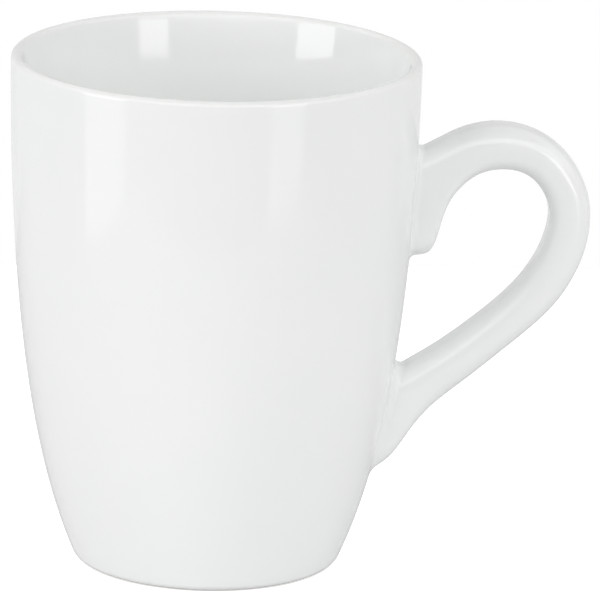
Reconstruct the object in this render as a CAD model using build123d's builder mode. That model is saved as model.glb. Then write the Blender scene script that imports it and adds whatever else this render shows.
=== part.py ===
from build123d import *
import math
import os

# A glazed ceramic mug: a full-bellied cup on a turned foot ring, with a cast ear handle
# that is luted to the wall with clay slip at its upper and its lower end.
# Frame: origin on the cup's axis, in the plane that the foot ring rests on.
# +Z is up and +X points to the handle. Lengths are millimetres, angles are degrees.

# ---- The cup's outside ----
MUG_HEIGHT = 100.0
RIM_RADIUS = 39.55
RIM_LEAN = 0.55
LIP_RADIUS = 1.09
HEEL_CENTRE_RADIUS = 24.0
HEEL_RADIUS = 2.4
HEEL_LEAN = 23.2
OUTSIDE_LOWER_PULL = 25.1
OUTSIDE_UPPER_PULL = 39.6

# ---- The cup's inside ----
FLOOR_HEIGHT = 7.8
FLOOR_CENTRE_RADIUS = 17.1
FLOOR_CORNER_RADIUS = 9.0
FLOOR_CORNER_LEAN = 14.8
INSIDE_LOWER_PULL = 40.7
INSIDE_UPPER_PULL = 23.7
INSIDE_RIM_LEAN = 16.2

# ---- The foot ring and the hollow that it leaves under the floor ----
FOOT_RING_WIDTH = 3.2
FOOT_RING_DRAFT = 1.6
RECESS_HEIGHT = 2.2
RECESS_ROUNDS = [0.5, 1.4]

# ---- The handle ----
HANDLE_WIDTH = 11.5
HANDLE_EDGE_ROUND = 3.0
UPPER_HEEL_ROUND = 3.4

# The handle's outer line, from inside the wall at its upper root, over the thumb rest and
# down the back of the loop, to inside the wall below its lower heel.
HANDLE_OUTER_LINE = [
    (35.0, 80.6),
    (40.2, 82.0),
    (45.4, 84.7),
    (53.1, 87.0),
    (63.3, 84.9),
    (71.0, 77.0),
    (72.9, 68.0),
    (68.3, 54.2),
    (56.2, 42.0),
    (44.3, 32.0),
    (38.6, 25.4),
    (35.2, 20.1),
    (32.0, 17.8),
    (28.0, 16.0),
]
# The handle's inner line, from its upper heel round the finger loop to inside the wall
# at its lower root.
HANDLE_INNER_LINE = [
    (42.2, 60.8),
    (44.4, 69.5),
    (48.2, 75.7),
    (54.8, 78.5),
    (61.3, 76.8),
    (65.0, 70.0),
    (63.1, 61.4),
    (54.9, 51.2),
    (44.7, 43.1),
    (37.6, 38.9),
    (31.0, 35.6),
]
# Where the flat underside of the upper heel ends inside the wall.
UPPER_HEEL_END = (34.0, 60.8)

# ---- The slip that lutes the handle to the wall ----
SLIP_THICKNESS = 0.4
SLIP_FILLET = 1.1
# Each slip joint lies inside a block of this size, centred on its root.
ROOT_BLOCK = (14, 20, 28)
UPPER_ROOT_CENTRE = (40, 0, 72)
LOWER_ROOT_CENTRE = (36, 0, 29)


def leaning(length, lean):
    """A step of this length up a wall that leans outwards by this angle."""
    return Vector(length * math.sin(math.radians(lean)), length * math.cos(math.radians(lean)))


def round_end(centre, radius, lean):
    """Where an arc that starts straight below its centre meets a wall that leans by this angle."""
    return centre + Vector(math.cos(math.radians(lean)), -math.sin(math.radians(lean))) * radius


# The cup's profiles are drawn on the side away from the handle, so their seam stays clear of it.
PROFILE_PLANE = Plane(origin=(0, 0, 0), x_dir=(-1, 0, 0), z_dir=(0, 1, 0))

heel_centre = Vector(HEEL_CENTRE_RADIUS, HEEL_RADIUS)
heel_top = round_end(heel_centre, HEEL_RADIUS, HEEL_LEAN)
floor_corner_centre = Vector(FLOOR_CENTRE_RADIUS, FLOOR_HEIGHT + FLOOR_CORNER_RADIUS)
floor_corner_top = round_end(floor_corner_centre, FLOOR_CORNER_RADIUS, FLOOR_CORNER_LEAN)
rim_outside = Vector(RIM_RADIUS, MUG_HEIGHT - LIP_RADIUS)
rim_centre = rim_outside - Vector(LIP_RADIUS, 0)
# The round of the lip ends where it leans as the inside of the wall does.
rim_inside = rim_centre * 2 - round_end(rim_centre, LIP_RADIUS, INSIDE_RIM_LEAN)


def outside_line(outset=0):
    """The cup's outside, from the foot ring's edge round the heel and up the wall to the rim."""
    step = Vector(outset, 0)
    CenterArc(heel_centre + step, HEEL_RADIUS, 270, 90 - HEEL_LEAN)
    Bezier(
        heel_top + step,
        heel_top + step + leaning(OUTSIDE_LOWER_PULL, HEEL_LEAN),
        rim_outside + step - leaning(OUTSIDE_UPPER_PULL, RIM_LEAN),
        rim_outside + step,
    )


def full_form(outset):
    """The cup's outside as a solid form, with this much added to its radius."""
    with BuildPart(mode=Mode.PRIVATE) as form:
        with BuildSketch(PROFILE_PLANE):
            with BuildLine():
                outside_line(outset)
                Polyline(
                    (RIM_RADIUS + outset, rim_outside.Y),
                    (0, rim_outside.Y),
                    (0, 0),
                    (HEEL_CENTRE_RADIUS + outset, 0),
                )
            make_face()
        revolve(axis=Axis.Z)
    return form.part


# ---- The cup: one cast piece with its floor and its foot ring ----
with BuildPart() as mug_body:
    with BuildSketch(PROFILE_PLANE):
        with BuildLine():
            outside_line()
            CenterArc(rim_centre, LIP_RADIUS, 0, 180 - INSIDE_RIM_LEAN)
            Bezier(
                rim_inside,
                rim_inside - leaning(INSIDE_UPPER_PULL, INSIDE_RIM_LEAN),
                floor_corner_top + leaning(INSIDE_LOWER_PULL, FLOOR_CORNER_LEAN),
                floor_corner_top,
            )
            CenterArc(floor_corner_centre, FLOOR_CORNER_RADIUS, 270, 90 - FLOOR_CORNER_LEAN)
            Polyline(
                (FLOOR_CENTRE_RADIUS, FLOOR_HEIGHT),
                (0, FLOOR_HEIGHT),
                (0, RECESS_HEIGHT),
                (RECESS_ROUNDS[1], RECESS_HEIGHT),
            )
            FilletPolyline(
                (RECESS_ROUNDS[1], RECESS_HEIGHT),
                (HEEL_CENTRE_RADIUS - FOOT_RING_WIDTH - FOOT_RING_DRAFT, RECESS_HEIGHT),
                (HEEL_CENTRE_RADIUS - FOOT_RING_WIDTH, 0),
                (HEEL_CENTRE_RADIUS, 0),
                radius=[RECESS_ROUNDS[1], RECESS_ROUNDS[0]],
            )
        make_face()
    revolve(axis=Axis.Z)

# ---- The handle: its side outline, extruded to its width and rounded along its edges ----
with BuildPart() as handle_blank:
    with BuildSketch(Plane.XZ) as handle_side:
        with BuildLine():
            Spline(HANDLE_OUTER_LINE)
            Line(HANDLE_OUTER_LINE[-1], HANDLE_INNER_LINE[-1])
            Spline(HANDLE_INNER_LINE)
            Polyline(HANDLE_INNER_LINE[0], UPPER_HEEL_END, HANDLE_OUTER_LINE[0])
        make_face()
        heel_corner = handle_side.vertices().sort_by_distance(HANDLE_INNER_LINE[0])[0]
        fillet(heel_corner, UPPER_HEEL_ROUND)
    extrude(amount=HANDLE_WIDTH / 2, both=True)
    fillet(handle_blank.faces().filter_by(Axis.Y).edges(), HANDLE_EDGE_ROUND)

with BuildPart() as handle:
    add(handle_blank.part)
    add(full_form(SLIP_THICKNESS), mode=Mode.SUBTRACT)

# ---- The slip joints: under each root a thin bed of slip, with a wiped fillet round it ----
def slip_joint(root_centre):
    """The slip between the bare wall and the trimmed handle, within a block round one root."""
    with BuildPart() as joint:
        add(full_form(0))
        add(handle_blank.part)
        wall = joint.faces().sort_by(SortBy.AREA)[-1]
        root_line = wall.inner_wires().sort_by_distance(root_centre)[0]
        fillet(root_line.edges(), SLIP_FILLET)
        with Locations(root_centre):
            Box(*ROOT_BLOCK, mode=Mode.INTERSECT)
        add(full_form(0), mode=Mode.SUBTRACT)
        add(handle.part, mode=Mode.SUBTRACT)
    return joint


upper_slip_joint = slip_joint(UPPER_ROOT_CENTRE)
lower_slip_joint = slip_joint(LOWER_ROOT_CENTRE)

mug_body.part.label = "mug_body"
handle.part.label = "handle"
upper_slip_joint.part.label = "upper_slip_joint"
lower_slip_joint.part.label = "lower_slip_joint"

os.makedirs("parts", exist_ok=True)
for piece in (mug_body, handle, upper_slip_joint, lower_slip_joint):
    export_step(piece.part, f"parts/{piece.part.label}.step")
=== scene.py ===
"""A white glazed ceramic mug: a full-bellied cup and an ear handle that is luted on with slip.

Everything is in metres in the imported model's frame: the cup's axis is Z, its foot ring stands
at height 0, and the handle points along +X. Shapes are worked out in millimetres and scaled
once, when a mesh is made.
"""

import math

import bmesh
import bpy
import numpy as np
from mathutils import Matrix, Vector


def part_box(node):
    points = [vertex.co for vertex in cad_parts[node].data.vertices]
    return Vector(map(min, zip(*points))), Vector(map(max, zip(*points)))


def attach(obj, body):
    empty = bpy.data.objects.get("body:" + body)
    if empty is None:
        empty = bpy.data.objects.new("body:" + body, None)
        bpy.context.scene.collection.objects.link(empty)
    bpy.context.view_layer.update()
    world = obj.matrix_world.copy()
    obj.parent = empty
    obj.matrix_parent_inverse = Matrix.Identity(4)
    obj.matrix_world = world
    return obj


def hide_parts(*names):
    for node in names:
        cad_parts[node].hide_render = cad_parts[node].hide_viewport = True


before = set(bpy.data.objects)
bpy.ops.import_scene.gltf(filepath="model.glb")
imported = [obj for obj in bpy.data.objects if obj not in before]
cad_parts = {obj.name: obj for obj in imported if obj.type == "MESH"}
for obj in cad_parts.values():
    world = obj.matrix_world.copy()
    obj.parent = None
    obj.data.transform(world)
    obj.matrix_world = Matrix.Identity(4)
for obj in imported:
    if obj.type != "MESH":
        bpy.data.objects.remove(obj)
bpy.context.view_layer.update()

MM = 0.001


# ---- Node trees ----
class Wire:
    """A node's output. Sums and products written with wires add Math nodes to its tree."""

    def __init__(self, tree, socket):
        self.tree = tree
        self.socket = socket

    def math(self, operation, first, second):
        """Adds a Math node on two values or wires."""
        return self.tree.node("ShaderNodeMath", {"operation": operation}, {0: first, 1: second})

    def __add__(self, other):
        return self.math("ADD", self, other)

    __radd__ = __add__

    def __sub__(self, other):
        return self.math("SUBTRACT", self, other)

    def __rsub__(self, other):
        return self.math("SUBTRACT", other, self)

    def __mul__(self, other):
        return self.math("MULTIPLY", self, other)

    __rmul__ = __mul__

    def __truediv__(self, other):
        return self.math("DIVIDE", self, other)

    def __rtruediv__(self, other):
        return self.math("DIVIDE", other, self)


class Tree:
    """A node tree that is being built."""

    def __init__(self, tree):
        self.tree = tree
        self.tree.nodes.clear()

    def node(self, kind, settings=None, inputs=None, output=0):
        """Adds a node: first its settings, then the values or wires of its sockets."""
        made = self.tree.nodes.new(kind)
        for name, value in (settings or {}).items():
            setattr(made, name, value)
        for name, value in (inputs or {}).items():
            if isinstance(value, Wire):
                self.tree.links.new(value.socket, made.inputs[name])
            else:
                made.inputs[name].default_value = value
        return Wire(self, made.outputs[output]) if len(made.outputs) else None

    def step(self, value, low, high):
        """0 below low, 1 above high and a smooth change between them."""
        return self.node(
            "ShaderNodeMapRange",
            {"interpolation_type": "SMOOTHSTEP"},
            {"Value": value, "From Min": low, "From Max": high},
        )

    def step_mm(self, value, low, high):
        """The same for a value in metres and limits in millimetres."""
        return self.step(value, low * MM, high * MM)

    def cells(self, place, scale, output):
        """Scattered cells, this many in a metre: the nearest one's Distance or Position."""
        return self.node(
            "ShaderNodeTexVoronoi",
            {"feature": "F1"},
            {"Vector": place, "Scale": scale},
            output,
        )

    def noise(self, place, scale, detail=2.0, roughness=0.5):
        """Noise round 0.5 with this many features in a metre."""
        return self.node(
            "ShaderNodeTexNoise",
            {"noise_dimensions": "3D"},
            {"Vector": place, "Scale": scale, "Detail": detail, "Roughness": roughness},
        )

    def blend(self, amount, first, second):
        """The first colour turning into the second as amount goes from 0 to 1."""
        return self.node(
            "ShaderNodeMix",
            {"data_type": "RGBA"},
            {0: amount, 6: first, 7: second},
            output=2,
        )


# ---- The cup's outline, in millimetres from its axis and above the table ----
_, cup_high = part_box("mug_body")
MUG_HEIGHT = cup_high.z / MM
RIM_RADIUS = cup_high.y / MM
LIP_RADIUS = 1.09
RIM_LEAN = 0.55
HEEL_RADIUS = 2.4
HEEL_CENTRE = (24.0, HEEL_RADIUS)
HEEL_LEAN = 23.2
OUTSIDE_PULLS = (25.1, 39.6)
FLOOR_HEIGHT = 7.8
FLOOR_CORNER_RADIUS = 9.0
FLOOR_CORNER_CENTRE = (17.1, FLOOR_HEIGHT + FLOOR_CORNER_RADIUS)
FLOOR_CORNER_LEAN = 14.8
INSIDE_PULLS = (40.7, 23.7)
INSIDE_RIM_LEAN = 16.2
RECESS_HEIGHT = 2.2
RECESS_CORNER = (19.2, RECESS_HEIGHT)
RECESS_CORNER_ROUND = 1.4
RING_INNER_EDGE = (20.8, 0.0)
RING_EDGE_ROUND = 0.5
SPOKES = 256
WELD_DISTANCE = 0.001


def arc(centre, radius, start, end, steps):
    """Points round an arc; angles are in degrees from the outward direction."""
    angles = np.radians(np.linspace(start, end, steps + 1))
    return np.array(centre) + radius * np.column_stack((np.cos(angles), np.sin(angles)))


def leaning(length, lean):
    """A step of this length up a wall that leans outwards by this angle."""
    return length * np.array((math.sin(math.radians(lean)), math.cos(math.radians(lean))))


def on_cubic(t, start, start_pull, end_pull, end):
    """The point at t, from 0 to 1, of the cubic curve with these four control points."""
    near = (1 - t) ** 3 * start + 3 * (1 - t) ** 2 * t * start_pull
    return near + 3 * (1 - t) * t**2 * end_pull + t**3 * end


def pulled_curve(start, start_pull, end_pull, end, steps):
    """Evenly stepped points along a cubic curve with these four control points."""
    t = np.linspace(0.0, 1.0, steps + 1)[:, None]
    return on_cubic(t, start, start_pull, end_pull, end)


def rounded_corner(before, corner, after, radius, steps):
    """Points round a corner between two straight lines, rounded to this radius."""
    before, corner, after = (np.array(p, dtype=float) for p in (before, corner, after))
    back = (before - corner) / np.linalg.norm(before - corner)
    on = (after - corner) / np.linalg.norm(after - corner)
    half = math.acos(float(back @ on)) / 2
    inwards = (back + on) / np.linalg.norm(back + on)
    centre = corner + inwards * radius / math.sin(half)
    turns = np.linspace(-1.0, 1.0, steps + 1) * (math.pi / 2 - half)
    across = on - inwards * float(on @ inwards)
    across /= np.linalg.norm(across)
    return centre + radius * (
        np.outer(-np.cos(turns), inwards) + np.outer(np.sin(turns), across)
    )


heel_top = arc(HEEL_CENTRE, HEEL_RADIUS, -HEEL_LEAN, -HEEL_LEAN, 1)[0]
rim_outside = np.array((RIM_RADIUS, MUG_HEIGHT - LIP_RADIUS))
rim_centre = rim_outside - (LIP_RADIUS, 0)
rim_inside = arc(rim_centre, LIP_RADIUS, 180 - INSIDE_RIM_LEAN, 180 - INSIDE_RIM_LEAN, 1)[0]
floor_corner_top = arc(
    FLOOR_CORNER_CENTRE, FLOOR_CORNER_RADIUS, -FLOOR_CORNER_LEAN, -FLOOR_CORNER_LEAN, 1
)[0]


def outside_wall(steps):
    """The outside of the wall from the top of the heel to the rim."""
    return pulled_curve(
        heel_top,
        heel_top + leaning(OUTSIDE_PULLS[0], HEEL_LEAN),
        rim_outside - leaning(OUTSIDE_PULLS[1], RIM_LEAN),
        rim_outside,
        steps,
    )


def inside_wall(steps):
    """The inside of the wall from the rim down to the floor's round corner."""
    return pulled_curve(
        rim_inside,
        rim_inside - leaning(INSIDE_PULLS[1], INSIDE_RIM_LEAN),
        floor_corner_top + leaning(INSIDE_PULLS[0], FLOOR_CORNER_LEAN),
        floor_corner_top,
        steps,
    )


def straight(start, end, steps):
    """Points along a straight line."""
    return np.linspace(start, end, steps + 1)


def cup_outline():
    """The closed outline of the cup's wall, floor and foot ring, from axis to axis."""
    recess_round = rounded_corner(
        (0, RECESS_HEIGHT), RECESS_CORNER, RING_INNER_EDGE, RECESS_CORNER_ROUND, 8
    )
    ring_round = rounded_corner(
        RECESS_CORNER, RING_INNER_EDGE, HEEL_CENTRE * np.array((1, 0)), RING_EDGE_ROUND, 6
    )
    parts = [
        straight((0, RECESS_HEIGHT), recess_round[0], 8),
        recess_round,
        ring_round,
        straight(ring_round[-1], (HEEL_CENTRE[0], 0), 4),
        arc(HEEL_CENTRE, HEEL_RADIUS, -90, -HEEL_LEAN, 14),
        outside_wall(76),
        arc(rim_centre, LIP_RADIUS, 0, 180 - INSIDE_RIM_LEAN, 20),
        inside_wall(66),
        arc(FLOOR_CORNER_CENTRE, FLOOR_CORNER_RADIUS, -FLOOR_CORNER_LEAN, -90, 16),
        straight((FLOOR_CORNER_CENTRE[0], FLOOR_HEIGHT), (0, FLOOR_HEIGHT), 8),
    ]
    points = np.concatenate(parts)
    fresh = np.linalg.norm(np.diff(points, axis=0), axis=1) > WELD_DISTANCE
    return points[np.concatenate(([True], fresh))]


# ---- Meshes ----
def add_object(name, mesh):
    """Puts a mesh in the scene on an object that stands at the origin."""
    made = bpy.data.objects.new(name, mesh)
    bpy.context.scene.collection.objects.link(made)
    return made


def point_outwards(mesh, sharp_rings=()):
    """Turns all faces outwards and shades them smoothly, apart from these rings of edges."""
    shell = bmesh.new()
    shell.from_mesh(mesh)
    bmesh.ops.recalc_face_normals(shell, faces=shell.faces)
    if shell.calc_volume(signed=True) < 0:
        bmesh.ops.reverse_faces(shell, faces=shell.faces)
    for face in shell.faces:
        face.smooth = True
    for ring in sharp_rings:
        for edge in shell.edges:
            if edge.verts[0].index in ring and edge.verts[1].index in ring:
                edge.smooth = False
    shell.to_mesh(mesh)
    shell.free()


def spin_tree():
    """A tree that spins an outline round the Z axis and welds it into a closed shell."""
    group = bpy.data.node_groups.new("Outline spun into a cup", "GeometryNodeTree")
    given = {}
    for name, kind in (
        ("Outline", "NodeSocketGeometry"),
        ("Spokes", "NodeSocketInt"),
        ("Weld distance", "NodeSocketFloat"),
        ("Glaze", "NodeSocketMaterial"),
    ):
        given[name] = group.interface.new_socket(name, in_out="INPUT", socket_type=kind)
    group.interface.new_socket("Cup", in_out="OUTPUT", socket_type="NodeSocketGeometry")
    tree = Tree(group)
    outline = tree.node("NodeGroupInput", output="Outline")
    spokes = tree.node("NodeGroupInput", output="Spokes")
    rows = tree.node(
        "GeometryNodeAttributeDomainSize",
        {"component": "MESH"},
        {"Geometry": outline},
        output="Point Count",
    )
    sheet = tree.node(
        "GeometryNodeMeshGrid", {}, {"Vertices X": spokes + 1, "Vertices Y": rows}, output="Mesh"
    )
    number = tree.node("GeometryNodeInputIndex")
    spoke = tree.node("ShaderNodeMath", {"operation": "FLOOR"}, {0: (number + 0.5) / rows})
    place = tree.node(
        "GeometryNodeSampleIndex",
        {"data_type": "FLOAT_VECTOR", "domain": "POINT"},
        {
            "Geometry": outline,
            "Value": tree.node("GeometryNodeInputPosition"),
            "Index": number - spoke * rows,
        },
    )
    turned = tree.node(
        "ShaderNodeVectorRotate",
        {"rotation_type": "Z_AXIS"},
        {"Vector": place, "Angle": spoke * 2 * math.pi / spokes},
    )
    shell = tree.node("GeometryNodeSetPosition", {}, {"Geometry": sheet, "Position": turned})
    shell = tree.node(
        "GeometryNodeMergeByDistance",
        {},
        {"Geometry": shell, "Distance": tree.node("NodeGroupInput", output="Weld distance")},
    )
    shell = tree.node("GeometryNodeSetShadeSmooth", {}, {"Geometry": shell, "Shade Smooth": True})
    shell = tree.node("GeometryNodeRealizeInstances", {}, {"Geometry": shell})
    shell = tree.node(
        "GeometryNodeSetMaterial",
        {},
        {"Geometry": shell, "Material": tree.node("NodeGroupInput", output="Glaze")},
    )
    tree.node("NodeGroupOutput", {}, {"Cup": shell})
    return group, given


def make_cup(finish):
    """Spins the outline into the cup and returns it as a plain mesh object."""
    outline = cup_outline() * MM
    wire = bpy.data.meshes.new("Cup_outline")
    wire.from_pydata(
        [(radius, 0.0, height) for radius, height in outline],
        [(i, i + 1) for i in range(len(outline) - 1)],
        [],
    )
    former = add_object("Cup_outline", wire)
    group, given = spin_tree()
    spin = former.modifiers.new("Spin", "NODES")
    spin.node_group = group
    spin[given["Spokes"].identifier] = SPOKES
    spin[given["Weld distance"].identifier] = WELD_DISTANCE * MM
    spin[given["Glaze"].identifier] = finish
    seen = bpy.context.evaluated_depsgraph_get()
    mesh = bpy.data.meshes.new_from_object(former.evaluated_get(seen))
    former.modifiers.remove(spin)
    bpy.data.objects.remove(former)
    point_outwards(mesh)
    mesh.name = "Cup"
    return add_object("Cup", mesh)


# ---- The handle: pairs of outer and inner points of its side outline, in millimetres ----
# Each row is the outer point, then the inner point, from the upper root to the lower one.
HANDLE_SECTIONS = np.array(
    [
        (36.2, 80.3, 36.0, 61.3),
        (40.0, 81.95, 40.2, 61.4),
        (42.0, 82.9, 42.7, 63.5),
        (45.4, 84.7, 44.4, 69.5),
        (49.3, 86.3, 46.9, 74.2),
        (54.5, 87.1, 51.4, 77.7),
        (60.7, 86.1, 57.3, 78.4),
        (66.6, 82.7, 61.8, 76.3),
        (71.2, 76.7, 64.6, 71.8),
        (72.95, 68.9, 64.8, 66.6),
        (71.2, 59.9, 62.4, 60.1),
        (66.2, 51.3, 57.7, 53.9),
        (58.3, 43.8, 51.4, 48.2),
        (49.9, 36.7, 44.7, 43.1),
        (43.0, 30.9, 40.0, 40.1),
        (38.6, 25.4, 37.5, 38.55),
        (35.4, 20.9, 35.4, 37.45),
        (31.9, 18.2, 33.2, 36.3),
        (28.5, 16.2, 31.0, 35.4),
    ]
)
_, handle_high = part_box("handle")
HANDLE_HALF_WIDTH = handle_high.y / MM
# The size of its section's soft corners, at most this share of half its depth; how square
# they are, where 2 is round; and how much its faces bulge.
HANDLE_CORNER = 4.2
HANDLE_CORNER_SHARE = 0.92
HANDLE_CORNER_POWER = 2.4
HANDLE_CROWN = 0.02
HANDLE_STEPS = 3000
CORNER_POINTS = 14
FLAT_POINTS = 5
HANDLE_ROWS = 230
SLIP_THICKNESS = 0.4
BED_ROWS = 4
FILLET_ROWS = 20
CAP_RINGS = 6
# How many steps along the handle its direction is read over, at the fillet and at the bed.
NEAR_STEPS = 3
FAR_STEPS = 60
# How far up and down the wall its slope is read over, in millimetres.
SLOPE_STEP = 0.05


def smooth_through(points, places):
    """A natural cubic curve through the points, which lie at 0, 1, 2 and so on, read at places."""
    count = len(points)
    bends = np.zeros_like(points)
    system = np.diag(np.full(count - 2, 4.0))
    system += np.diag(np.ones(count - 3), 1) + np.diag(np.ones(count - 3), -1)
    bends[1:-1] = np.linalg.solve(system, 6 * (points[2:] - 2 * points[1:-1] + points[:-2]))
    left = np.clip(places.astype(int), 0, count - 2)
    on = (places - left)[:, None]
    off = 1 - on
    line = off * points[left] + on * points[left + 1]
    return line + ((off**3 - off) * bends[left] + (on**3 - on) * bends[left + 1]) / 6


def section_outline(half_depth):
    """The handle's section at each depth, as rows of (depth offset, width offset) points.

    Each section is a rectangle with soft corners and faces that bulge a little.
    """
    corner = np.minimum(HANDLE_CORNER, HANDLE_CORNER_SHARE * half_depth)[:, None]
    turn = np.linspace(0.0, math.pi / 2, CORNER_POINTS)
    across = np.cos(turn) ** (2 / HANDLE_CORNER_POWER)
    along = np.sin(turn) ** (2 / HANDLE_CORNER_POWER)
    half = half_depth[:, None]
    depth = half - corner + corner * across
    width = np.broadcast_to(HANDLE_HALF_WIDTH - HANDLE_CORNER * (1 - along), depth.shape)
    flat = np.linspace(0.0, 1.0, FLAT_POINTS)[1:-1]
    side = (half - corner) * (1 - 2 * flat)
    edge = (HANDLE_HALF_WIDTH - HANDLE_CORNER) * (1 - 2 * flat)
    depth = np.hstack(
        (depth, side, -depth[:, ::-1], -half * np.ones(len(flat)),
         -depth, -side, depth[:, ::-1], half * np.ones(len(flat)))
    )
    full = np.full_like(side, HANDLE_HALF_WIDTH)
    level = np.broadcast_to(edge, side.shape)
    width = np.hstack(
        (width, full, width[:, ::-1], level, -width, -full, -width[:, ::-1], -level)
    )
    crown_depth = depth * (1 - HANDLE_CROWN * (width / HANDLE_HALF_WIDTH) ** 2)
    crown_width = width * (1 - HANDLE_CROWN * (depth / half) ** 2)
    return crown_depth, crown_width


def handle_lines():
    """The handle's surface before it is trimmed, as [step, line, xyz], and each line's side.

    The side is 1 on the outer face and -1 on the inner face.
    """
    places = np.linspace(0.0, len(HANDLE_SECTIONS) - 1.0, HANDLE_STEPS)
    pairs = smooth_through(HANDLE_SECTIONS, places)
    outer, inner = pairs[:, :2], pairs[:, 2:]
    middle = (outer + inner) / 2
    half_depth = np.linalg.norm(outer - inner, axis=1) / 2
    outwards = (outer - inner) / (2 * half_depth)[:, None]
    depth, width = section_outline(half_depth)
    flat = middle[:, None, :] + depth[:, :, None] * outwards[:, None, :]
    lines = np.stack((flat[:, :, 0], width, flat[:, :, 1]), axis=2)
    return lines, depth / half_depth[:, None]


wall_line = np.concatenate(
    (arc(HEEL_CENTRE, HEEL_RADIUS, -90, -HEEL_LEAN, 60), outside_wall(600))
)


def wall_radius(height):
    """The cup's outside radius at this height."""
    return np.interp(height, wall_line[:, 1], wall_line[:, 0])


def onto_wall(points, clearance=0.0):
    """Moves points level with the table until they are this far out from the wall."""
    flat = np.hypot(points[..., 0], points[..., 1])
    scale = (wall_radius(points[..., 2]) + clearance) / flat
    return points * np.stack((scale, scale, np.ones_like(scale)), axis=-1)


def wall_normals(points):
    """The wall's outward normals at points that lie on it."""
    above, below = points[:, 2] + SLOPE_STEP, points[:, 2] - SLOPE_STEP
    slope = (wall_radius(above) - wall_radius(below)) / (2 * SLOPE_STEP)
    flat = np.hypot(points[:, 0], points[:, 1])
    normals = np.column_stack((points[:, 0] / flat, points[:, 1] / flat, -slope))
    return normals / np.linalg.norm(normals, axis=1)[:, None]


class Root:
    """Where one end of the handle meets the wall.

    For each lengthwise line of the handle it finds the line's end on the bed of slip, and
    where the slip's wiped fillet runs out on the handle and on the wall. The fillet's radius
    changes round the root, from the handle's outer face over its sides to its inner face.
    """

    def __init__(self, lines, side, outer_round, side_round, inner_round):
        count = lines.shape[1]
        bare = np.hypot(lines[..., 0], lines[..., 1]) - wall_radius(lines[..., 2])
        clear = np.argmax(bare > SLIP_THICKNESS, axis=0)
        first = [self.crossing(bare[:, i], 0.0, clear[i]) for i in range(count)]
        hit = np.array([self.read(lines[:, i], first[i]) for i in range(count)])
        self.centre = hit.mean(axis=0)
        spread = np.cross(
            wall_normals(hit), np.roll(hit, -1, axis=0) - np.roll(hit, 1, axis=0)
        )
        spread /= np.linalg.norm(spread, axis=1)[:, None]
        if np.sum(spread * (hit - self.centre)) < 0:
            spread = -spread

        self.rows = np.zeros((BED_ROWS + 1, count, 3))
        self.start = np.zeros(count)
        reach = np.zeros((count, 1))
        fullness = np.zeros((count, 1))
        leaving = np.zeros((count, 3))
        steps = np.arange(len(lines))
        for i in range(count):
            line = lines[:, i]
            leave = line[clear[i] + FAR_STEPS] - hit[i]
            opening = math.acos(float(leave @ spread[i]) / np.linalg.norm(leave))
            face = side[clear[i], i]
            face_round = outer_round if face > 0 else inner_round
            reach[i] = (side_round * (1 - face**2) + face_round * face**2) / math.tan(opening / 2)
            turn = math.pi - opening
            fullness[i] = 4 / 3 * math.tan(turn / 4) / math.tan(turn / 2)
            pieces = np.linalg.norm(np.diff(line, axis=0), axis=1)
            lengths = np.concatenate(([0.0], np.cumsum(pieces)))
            begin = np.interp(first[i], steps, lengths)
            self.start[i] = np.interp(begin + reach[i, 0], lengths, steps)
            start = self.start[i]
            ahead = self.read(line, start + NEAR_STEPS) - self.read(line, start)
            leaving[i] = ahead / np.linalg.norm(ahead)
            bed = self.crossing(bare[:, i], SLIP_THICKNESS, clear[i])
            for k in range(BED_ROWS + 1):
                self.rows[k, i] = self.read(line, bed + (start - bed) * k / BED_ROWS)

        self.wall_edge = onto_wall(hit + spread * reach)
        facing = wall_normals(self.wall_edge)
        inwards = hit - self.wall_edge
        inwards -= facing * np.sum(inwards * facing, axis=1)[:, None]
        self.wall_pull = self.wall_edge + inwards * fullness
        self.handle_pull = self.rows[-1] - leaving * fullness * reach

    @staticmethod
    def crossing(bare, level, clear):
        """The step, with its fraction, at which a line leaves this level."""
        below = clear
        while bare[below] > level:
            below -= 1
        return below + (level - bare[below]) / (bare[below + 1] - bare[below])

    @staticmethod
    def read(line, step):
        """The point of a line at a step with a fraction."""
        low = int(step)
        return line[low] + (line[low + 1] - line[low]) * (step - low)

    def cap(self, ring, clearance):
        """Rings from this ring to the root's centre, all this far out from the wall."""
        shares = np.linspace(1.0, 0.0, CAP_RINGS + 1)[1:-1]
        rings = [onto_wall(self.centre + (ring - self.centre) * s, clearance) for s in shares]
        return rings, onto_wall(self.centre[None], clearance)[0]

    def slip(self):
        """The slip joint's surface: under the fillet, over it, and down the handle to the bed."""
        under, under_pole = self.cap(self.wall_edge, 0.0)
        over, over_pole = self.cap(self.rows[0], SLIP_THICKNESS)
        fillet = []
        for turn in np.linspace(0.0, math.pi, FILLET_ROWS + 1):
            t = (1 - math.cos(turn)) / 2
            fillet.append(
                on_cubic(t, self.wall_edge, self.wall_pull, self.handle_pull, self.rows[-1])
            )
        rings = under[::-1] + fillet + list(self.rows[-2::-1]) + over
        edges = (len(under), len(under) + FILLET_ROWS, len(under) + FILLET_ROWS + BED_ROWS)
        return under_pole, rings, over_pole, edges


def closed_skin(name, first_pole, rings, last_pole, edges):
    """A closed mesh through rings of points, from one pole to the other."""
    around = len(rings[0])
    points = np.concatenate([first_pole[None], *rings, last_pole[None]]) * MM
    starts = 1 + around * np.arange(len(rings))
    faces = []
    for i in range(around):
        j = (i + 1) % around
        faces.append((0, starts[0] + j, starts[0] + i))
        faces.append((starts[-1] + i, starts[-1] + j, len(points) - 1))
        faces += [(a + i, a + j, a + j + around, a + i + around) for a in starts[:-1]]
    mesh = bpy.data.meshes.new(name)
    mesh.from_pydata(points.tolist(), [], [[int(v) for v in face] for face in faces])
    point_outwards(mesh, [range(starts[e], starts[e] + around) for e in edges])
    return add_object(name, mesh)


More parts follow.
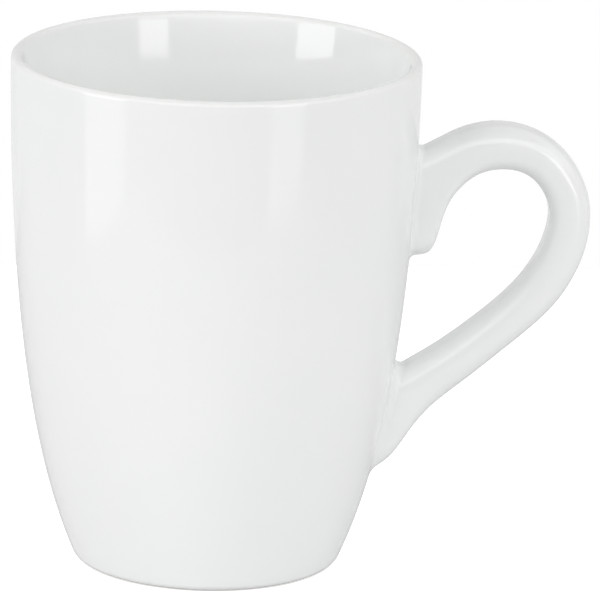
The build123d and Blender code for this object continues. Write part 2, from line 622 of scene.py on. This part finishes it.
def make_handle_and_slip():
    """The handle, and the slip joints at its upper and its lower root."""
    lines, side = handle_lines()
    upper = Root(lines, side, outer_round=1.1, side_round=1.8, inner_round=1.4)
    lower = Root(lines[::-1], side[::-1], outer_round=4.0, side_round=3.0, inner_round=1.5)
    last = len(lines) - 1
    shares = np.linspace(0.0, 1.0, HANDLE_ROWS + 1)[1:-1]
    steps = upper.start + np.outer(shares, last - lower.start - upper.start)
    whole = np.arange(last + 1)
    span = np.empty(steps.shape + (3,))
    for i in range(lines.shape[1]):
        for axis in range(3):
            span[:, i, axis] = np.interp(steps[:, i], whole, lines[:, i, axis])
    upper_cap, upper_pole = upper.cap(upper.rows[0], SLIP_THICKNESS)
    lower_cap, lower_pole = lower.cap(lower.rows[0], SLIP_THICKNESS)
    rings = upper_cap[::-1] + list(upper.rows) + list(span) + list(lower.rows[::-1]) + lower_cap
    ends = (len(upper_cap), len(rings) - 1 - len(lower_cap))
    handle = closed_skin("Handle", upper_pole, rings, lower_pole, ends)
    upper_slip = closed_skin("Upper_slip", *upper.slip())
    lower_slip = closed_skin("Lower_slip", *lower.slip())
    return handle, upper_slip, lower_slip


# ---- Finishes: colours, roughness, and heights of relief in millimetres ----
WHITE = (1.0, 1.0, 1.0, 1)
COOL_WHITE = (0.938, 0.948, 0.940, 1)
MILD_WHITE = (0.922, 0.936, 0.930, 1)
WARM_WHITE = (0.930, 0.930, 0.916, 1)
# Partly pooled glaze and partly painted shade: the cooler, darker white of the slip joints.
POOL_AND_SHADE_WHITE = (0.912, 0.932, 0.923, 1)
LIP_WHITE = (0.930, 0.930, 0.912, 1)
# Partly pooled glaze and partly painted shade: the cooler, darker white low inside the cup.
WELL_POOL_AND_SHADE_WHITE = (0.918, 0.935, 0.926, 1)
SPECK_BROWN = (0.52, 0.44, 0.36, 1)
PALE_CLAY = (0.74, 0.70, 0.62, 1)
DARK_CLAY = (0.60, 0.56, 0.49, 1)
FLOOR_WHITE = (0.8, 0.8, 0.8, 1)
FLOOR_GLOW = 0.6

GLAZE_IOR = 1.5
GLAZE_DULLNESS = 0.07
FILM_DULLNESS = 0.05
SPECK_DULLNESS = 0.25
CLAY_DULLNESS = 0.78

SWAY_RELIEF = 0.05
PEEL_RELIEF = 0.005
PIT_RELIEF = 0.01
GRIT_RELIEF = 0.06

# Heights above the table, radii and the wander of the glaze's edge, in millimetres.
LIP_THINS = (98.6, 99.8)
WELL_STARTS = (6.0, 7.0)
WELL_ENDS = (9.0, 22.0)
WELL_RADII = (22.0, 24.0)
CLAY_ENDS = (0.22, 0.4)
CLAY_EDGE_WANDER = 0.35


def glaze(name, bare_foot=False, pool_and_shade=0.0):
    """Clear gloss glaze over a white body.

    The glaze drifts a little between a cool and a warm white, has a fine orange peel, a few
    pinholes and specks, and a duller film in places. Where it pools it is painted a cooler,
    slightly darker white, partly pooled glaze and partly painted shade. On the cup it thins over
    the lip and stops at the foot ring, which is bare clay, and low inside the cup it is painted
    cooler and darker the same way, partly pooled glaze and partly painted shade.
    """
    material = bpy.data.materials.new(name)
    material.use_nodes = True
    tree = Tree(material.node_tree)
    place = tree.node("ShaderNodeTexCoord", output="Object")

    drift = tree.step(tree.noise(place, 16.0, detail=3.0), 0.35, 0.65)
    colour = tree.blend(drift, COOL_WHITE, MILD_WHITE)
    cloud = tree.step(tree.noise(place, 70.0, detail=4.0, roughness=0.6), 0.55, 0.8)
    colour = tree.blend(cloud * 0.35, colour, WARM_WHITE)
    # Painted shade together with pooled glaze: a cooler, slightly darker white, as much as is
    # given.
    colour = tree.blend(pool_and_shade, colour, POOL_AND_SHADE_WHITE)

    chance = tree.node(
        "ShaderNodeTexWhiteNoise",
        {"noise_dimensions": "3D"},
        {"Vector": tree.cells(place, 160.0, "Position")},
    )
    near_speck = 1 - tree.step(tree.cells(place, 160.0, "Distance"), 0.012, 0.03)
    speck = near_speck * tree.step(chance, 0.93, 0.94)
    colour = tree.blend(speck * 0.5, colour, SPECK_BROWN)

    film = tree.step(tree.noise(place, 38.0, detail=5.0, roughness=0.65), 0.45, 0.75)
    dullness = GLAZE_DULLNESS + FILM_DULLNESS * film + SPECK_DULLNESS * speck

    sway = (tree.noise(place, 42.0, detail=1.0) - 0.5) * (SWAY_RELIEF * MM)
    peel = (tree.noise(place, 420.0, detail=1.0) - 0.5) * (PEEL_RELIEF * MM)
    near_pit = 1 - tree.step(tree.cells(place, 210.0, "Distance"), 0.0, 0.05)
    pit = near_pit * tree.step(tree.noise(place, 90.0), 0.66, 0.7)
    relief = sway + peel - pit * (PIT_RELIEF * MM)

    if bare_foot:
        across, deep, height = (
            tree.node("ShaderNodeSeparateXYZ", {}, {"Vector": place}, output=axis)
            for axis in "XYZ"
        )
        radius = tree.node(
            "ShaderNodeMath", {"operation": "SQRT"}, {0: across * across + deep * deep}
        )
        lip = tree.step_mm(height, *LIP_THINS)
        colour = tree.blend(lip * 0.5, colour, LIP_WHITE)
        # Low inside the cup, painted shade together with pooled glaze: a cooler, darker white.
        well_pool_and_shade = (1 - tree.step_mm(height, *WELL_ENDS)) * tree.step_mm(height, *WELL_STARTS)
        well_pool_and_shade = well_pool_and_shade * (1 - tree.step_mm(radius, *WELL_RADII))
        colour = tree.blend(well_pool_and_shade * 0.5, colour, WELL_POOL_AND_SHADE_WHITE)
        edge = (tree.noise(place, 260.0, detail=3.0) - 0.5) * (CLAY_EDGE_WANDER * MM)
        clay = 1 - tree.step_mm(height + edge, *CLAY_ENDS)
        grit = tree.noise(place, 1800.0, detail=3.0, roughness=0.7)
        colour = tree.blend(clay, colour, tree.blend(grit, PALE_CLAY, DARK_CLAY))
        dullness = dullness + clay * (CLAY_DULLNESS - dullness)
        relief = relief + clay * (grit - 0.5) * (GRIT_RELIEF * MM)

    bump = tree.node("ShaderNodeBump", {}, {"Strength": 1.0, "Distance": 1.0, "Height": relief})
    surface = tree.node(
        "ShaderNodeBsdfPrincipled",
        {},
        {"Base Color": colour, "Roughness": dullness, "IOR": GLAZE_IOR, "Normal": bump},
    )
    tree.node("ShaderNodeOutputMaterial", {}, {"Surface": surface})
    return material


def floor_finish():
    """A plain white table top that looks as white as the room behind it."""
    material = bpy.data.materials.new("White floor")
    material.use_nodes = True
    tree = Tree(material.node_tree)
    seen = tree.node("ShaderNodeLightPath", output="Is Camera Ray")
    lit = tree.node("ShaderNodeEmission", {}, {"Color": WHITE, "Strength": seen * FLOOR_GLOW})
    matt = tree.node("ShaderNodeBsdfDiffuse", {}, {"Color": FLOOR_WHITE})
    surface = tree.node("ShaderNodeAddShader", {}, {0: lit, 1: matt})
    tree.node("ShaderNodeOutputMaterial", {}, {"Surface": surface})
    return material


# ---- The mug ----
cup = make_cup(glaze("Cup glaze", bare_foot=True))
handle, upper_slip, lower_slip = make_handle_and_slip()
handle.data.materials.append(glaze("Handle glaze"))
# The slip joints get painted shade together with pooled glaze: a cooler, darker white.
slip_finish = glaze("Slip glaze", pool_and_shade=0.35)
upper_slip.data.materials.append(slip_finish)
lower_slip.data.materials.append(slip_finish)

for piece, node, finish in (
    (cup, "mug_body", "body_glaze"),
    (handle, "handle", "handle_glaze"),
    (upper_slip, "upper_slip_joint", "slip_glaze"),
    (lower_slip, "lower_slip_joint", "slip_glaze"),
):
    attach(piece, "root")
    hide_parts(node)

# ---- The studio ----
VIEW_SIDE = -4.0
VIEW_RISE = 15.03
VIEW_ROLL = 1.50745
VIEW_TARGET = (17.12 * MM, -1.20 * MM, 51.75 * MM)
VIEW_DISTANCE = 1368.4 * MM
SENSOR_WIDTH = 36.0
LENS_LENGTH = 423.8
FLOOR_REACH = 220 * MM

SOFTBOX_DISTANCE = 1.2
SOFTBOX_TOP = 0.53
SOFTBOX_FOOT = -0.5
SOFTBOX_GLOW = 2.65
SOFTBOX_FOOT_GLOW = 0.8

# The room's brightness at the mug's side, and how much it gains from there to the front.
LOW_ROOM = (0.42, -0.3)
MIDDLE_ROOM = (1.35, 0.75)
HIGH_ROOM = (0.2, -0.3)
UNDER_TABLE_GLOW = 0.12


def compass(side, rise):
    """The direction this far round to the right of the view's own side, and this far up."""
    around = math.radians(VIEW_SIDE + side)
    up = math.radians(rise)
    return Vector(
        (math.sin(around) * math.cos(up), -math.cos(around) * math.cos(up), math.sin(up))
    )


floor_mesh = bpy.data.meshes.new("Floor")
floor_mesh.from_pydata(
    [(x * FLOOR_REACH, y * FLOOR_REACH, 0) for x, y in ((-1, -1), (1, -1), (1, 1), (-1, 1))],
    [],
    [(0, 1, 2, 3)],
)
floor_mesh.materials.append(floor_finish())
floor = add_object("Floor", floor_mesh)


def softbox(name, side, width, low, high, glow):
    """An upright studio light that faces the mug; glow is how bright its face looks."""
    lamp = bpy.data.lights.new(name, "AREA")
    lamp.shape = "RECTANGLE"
    lamp.size = width
    lamp.size_y = high - low
    # A rectangular lamp looks as bright as its power over four times its area.
    lamp.energy = glow * 4 * width * (high - low)
    stand = bpy.data.objects.new(name, lamp)
    towards = compass(side, 0)
    stand.location = towards * SOFTBOX_DISTANCE + Vector((0.0, 0.0, (low + high) / 2))
    stand.rotation_euler = towards.to_track_quat("Z", "Y").to_euler()
    stand.visible_camera = False
    bpy.context.scene.collection.objects.link(stand)


for lamp_name, lamp_side, lamp_width in (("Left", -63, 0.55), ("Right", 41, 0.40)):
    softbox(f"{lamp_name}_softbox", lamp_side, lamp_width, 0.0, SOFTBOX_TOP, SOFTBOX_GLOW)
    softbox(
        f"{lamp_name}_softbox_foot", lamp_side, lamp_width, SOFTBOX_FOOT, 0.0, SOFTBOX_FOOT_GLOW
    )


def light_room():
    """White surroundings: dim overhead and near the floor, bright half way up in front."""
    room = bpy.data.worlds.new("White room")
    room.use_nodes = True
    bpy.context.scene.world = room
    tree = Tree(room.node_tree)
    towards = tree.node("ShaderNodeTexCoord", output="Generated")
    front = tree.node(
        "ShaderNodeVectorMath",
        {"operation": "DOT_PRODUCT"},
        {0: towards, 1: compass(0, 0)},
        output="Value",
    )
    rise = tree.node("ShaderNodeSeparateXYZ", {}, {"Vector": towards}, output="Z")
    under = 1 - tree.step(rise, -0.08, 0.0)
    high = tree.step(rise, 0.72, 0.82)
    not_low = tree.step(rise, 0.28, 0.42)
    strength = under * UNDER_TABLE_GLOW
    for share, (glow, gain) in (
        (1 - not_low, LOW_ROOM),
        (not_low * (1 - high), MIDDLE_ROOM),
        (high, HIGH_ROOM),
    ):
        strength = strength + share * (glow + gain * front)
    lit = tree.node("ShaderNodeBackground", {}, {"Color": WHITE, "Strength": strength})
    seen = tree.node("ShaderNodeBackground", {}, {"Color": WHITE, "Strength": 1.0})
    by_camera = tree.node("ShaderNodeLightPath", output="Is Camera Ray")
    both = tree.node("ShaderNodeMixShader", {}, {0: by_camera, 1: lit, 2: seen})
    tree.node("ShaderNodeOutputWorld", {}, {"Surface": both})


light_room()


def place_camera():
    """Looks down a little on the mug, square to its handle, through a long lens."""
    lens = bpy.data.cameras.new("Camera")
    lens.sensor_width = SENSOR_WIDTH
    lens.lens = LENS_LENGTH
    camera = bpy.data.objects.new("Camera", lens)
    back = compass(0, VIEW_RISE)
    level = Vector((0, 0, 1)).cross(back).normalized()
    rising = back.cross(level)
    roll = math.radians(VIEW_ROLL)
    right = level * math.cos(roll) + rising * math.sin(roll)
    up = back.cross(right)
    turn = Matrix((right, up, back)).transposed().to_4x4()
    place = Vector(VIEW_TARGET) + back * VIEW_DISTANCE
    camera.matrix_world = Matrix.Translation(place) @ turn
    bpy.context.scene.collection.objects.link(camera)
    bpy.context.scene.camera = camera


place_camera()
bpy.context.scene.view_settings.view_transform = "Standard"
